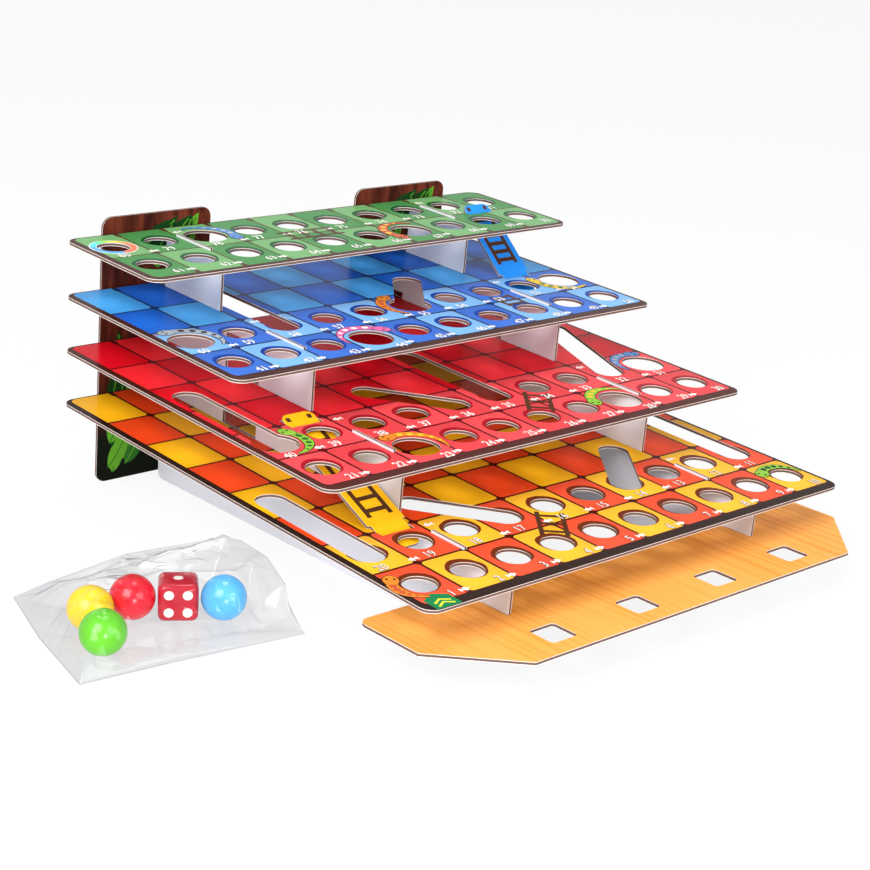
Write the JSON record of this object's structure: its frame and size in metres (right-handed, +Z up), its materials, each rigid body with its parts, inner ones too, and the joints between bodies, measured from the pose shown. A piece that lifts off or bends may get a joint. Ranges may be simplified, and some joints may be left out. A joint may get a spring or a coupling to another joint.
{
  "type": "snakes and ladders game",
  "caption": "Stepped tabletop snakes and ladders game: sloping card tiers with ball holes and rail slots on slotted card supports, with a ball tray, ladder strips, and bagged balls and die",
  "frame": {"origin": "middle of the footprint of the game and its bag of pieces, on the table", "axes": "+Z up, +Y to the rear (the high end), +X to the right as seen from the low front end"},
  "size_m": [0.283, 0.2348, 0.1045],
  "materials": {
    "yellow_print": "gloss laminated",
    "red_print": "gloss laminated",
    "blue_print": "gloss laminated",
    "green_print": "gloss laminated",
    "white_card": "gloss laminated",
    "bark_print": "gloss laminated",
    "wood_print": "gloss laminated",
    "yellow_strip": "gloss laminated",
    "blue_strip": "gloss laminated",
    "yellow_plastic": "gloss",
    "red_plastic": "gloss",
    "green_plastic": "gloss",
    "blue_plastic": "gloss",
    "die_plastic": "translucent gloss",
    "clear_film": "clear film"
  },
  "bodies": {
    "stand": {"yellow_tier": "yellow_print", "red_tier": "red_print", "blue_tier": "blue_print", "green_tier": "green_print", "left_support": "white_card", "right_support": "white_card", "left_post": "bark_print", "right_post": "bark_print"},
    "tray": {"ball_tray": "wood_print"},
    "yellow_strip": {"yellow_ladder": "yellow_strip"},
    "blue_strip": {"blue_ladder": "blue_strip"},
    "bag": {"bag": "clear_film"},
    "yellow_ball": {"yellow_ball": "yellow_plastic"},
    "red_ball": {"red_ball": "red_plastic"},
    "green_ball": {"green_ball": "green_plastic"},
    "blue_ball": {"blue_ball": "blue_plastic"},
    "die": {"die": "die_plastic"}
  },
  "joints": [
    {"name": "tray_slide", "type": "slide", "parent": "stand", "child": "tray", "axis": [0, -1, 0], "range_m": [0, 0.03]},
    {"name": "yellow_ladder_slide", "type": "slide", "parent": "stand", "child": "yellow_strip", "axis": [0, 0.9064, 0.4225], "range_m": [0, 0.0038]},
    {"name": "blue_ladder_slide", "type": "slide", "parent": "stand", "child": "blue_strip", "axis": [0, 0.7421, 0.6703], "range_m": [0, 0.0038]},
    {"name": "bag_slide", "type": "slide", "parent": "stand", "child": "bag", "axis": [-1, 0, 0], "range_m": [0, 0.06]},
    {"name": "die_lift", "type": "slide", "parent": "bag", "child": "die", "axis": [0, 0, 1], "range_m": [0, 0.0015]},
    {"name": "yellow_ball_roll", "type": "hinge", "parent": "bag", "child": "yellow_ball", "pos_m": [-0.11865, 0.00057, 0.00815], "axis": [1, 0, 0], "continuous": true},
    {"name": "red_ball_roll", "type": "hinge", "parent": "bag", "child": "red_ball", "pos_m": [-0.10305, 0.00057, 0.00815], "axis": [1, 0, 0], "continuous": true},
    {"name": "green_ball_roll", "type": "hinge", "parent": "bag", "child": "green_ball", "pos_m": [-0.1249, -0.01683, 0.00815], "axis": [1, 0, 0], "continuous": true},
    {"name": "blue_ball_roll", "type": "hinge", "parent": "bag", "child": "blue_ball", "pos_m": [-0.07911, -0.01616, 0.00815], "axis": [1, 0, 0], "continuous": true}
  ]
}
